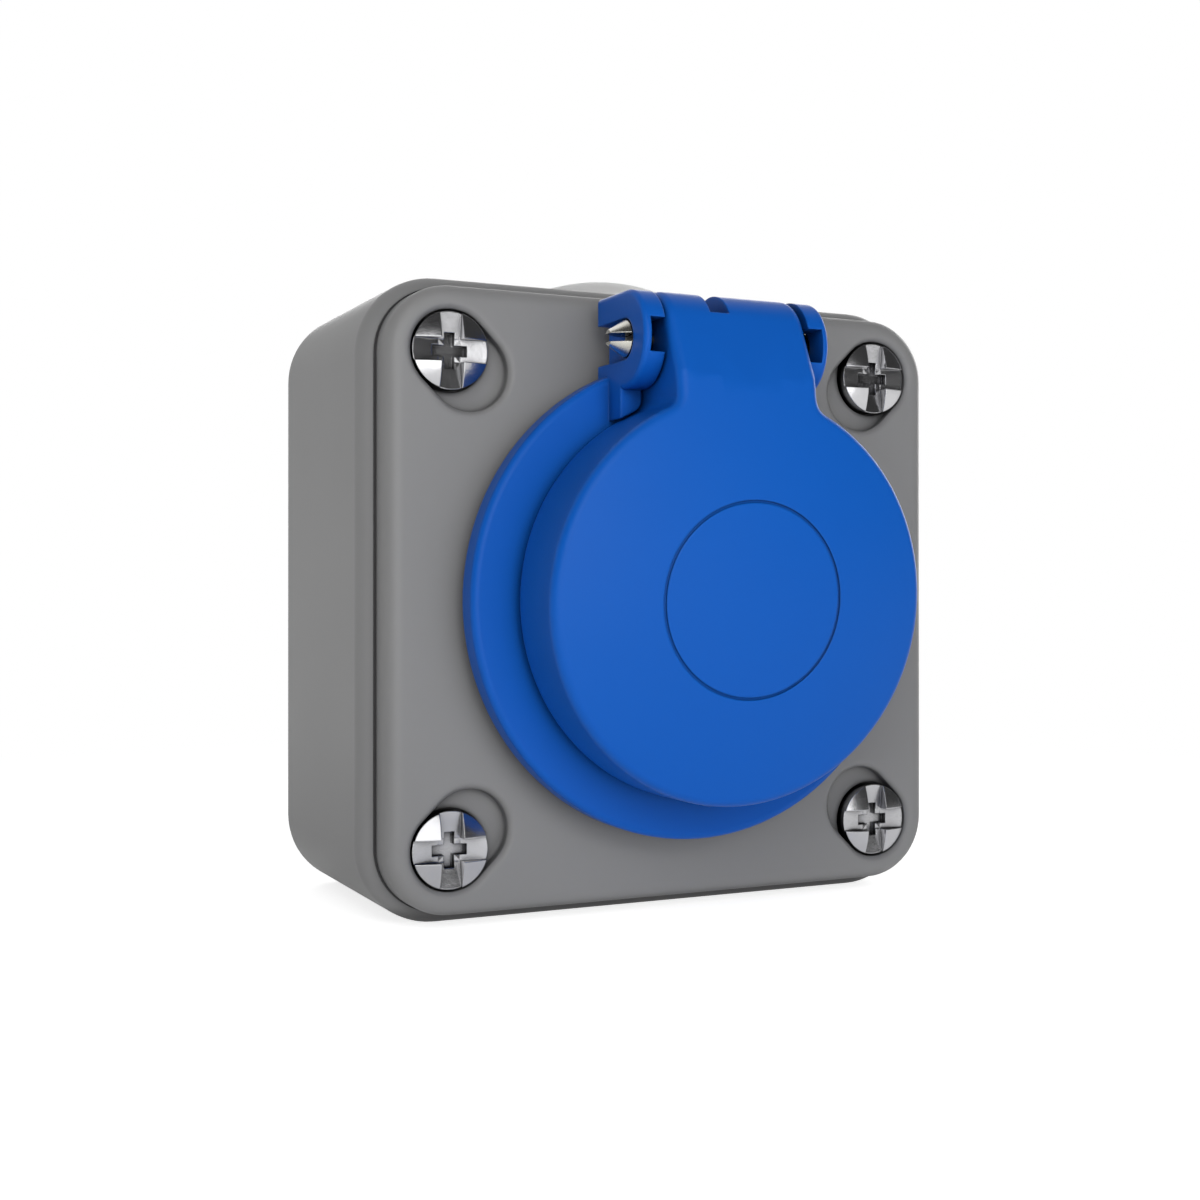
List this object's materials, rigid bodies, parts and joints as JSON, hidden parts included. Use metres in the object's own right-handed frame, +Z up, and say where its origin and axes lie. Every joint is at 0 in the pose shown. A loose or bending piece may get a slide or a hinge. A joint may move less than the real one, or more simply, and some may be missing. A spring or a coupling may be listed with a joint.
{
  "type": "industrial wall socket",
  "caption": "Surface-mounted round power socket on a square grey wall box, with a blue frame and a sprung hinged lid.",
  "frame": {"origin": "centre of the box's flat back face, which lies on the wall", "axes": "+Z up with the lid's hinge at the top, +Y into the wall, X to the right seen from the front"},
  "size_m": [0.08, 0.0641, 0.0844],
  "materials": {
    "grey_plastic": "smooth satin moulding",
    "blue_plastic": "smooth satin moulding",
    "black_plastic": "plain moulding",
    "seal_rubber": "soft matte",
    "pale_rubber": "soft matte",
    "plated_steel": "bright plated",
    "spring_steel": "drawn wire and strip",
    "plated_brass": "bright"
  },
  "bodies": {
    "root": {"housing": "grey_plastic", "cover": "grey_plastic", "cover_seal": "seal_rubber", "cover_inserts": "plated_brass", "cover_screws": "plated_steel", "flange_seal": "seal_rubber", "socket_frame": "blue_plastic", "clamp_nut": "black_plastic", "contact_well": "blue_plastic", "retaining_ring": "spring_steel", "contact_carrier": "black_plastic", "contact_left": "plated_brass", "contact_right": "plated_brass", "clamp_ring_left": "spring_steel", "clamp_ring_right": "spring_steel", "earth_strap": "plated_brass", "terminal_screws": "plated_steel", "terminal_clamps": "plated_steel", "carrier_screws": "plated_steel", "hinge_pin": "plated_steel", "lid_spring": "spring_steel", "cable_membrane": "pale_rubber"},
    "lid": {"hinge_lid": "blue_plastic", "lid_seal": "seal_rubber"}
  },
  "joints": [
    {"name": "lid_hinge", "type": "hinge", "parent": "root", "child": "lid", "pos_m": [0, -0.0537, 0.03125], "axis": [-1, 0, 0], "range_deg": [0, 160], "stiffness_Nm_per_rad": 0.03, "springref_deg": -57.3, "deforming": ["lid_spring"]}
  ]
}
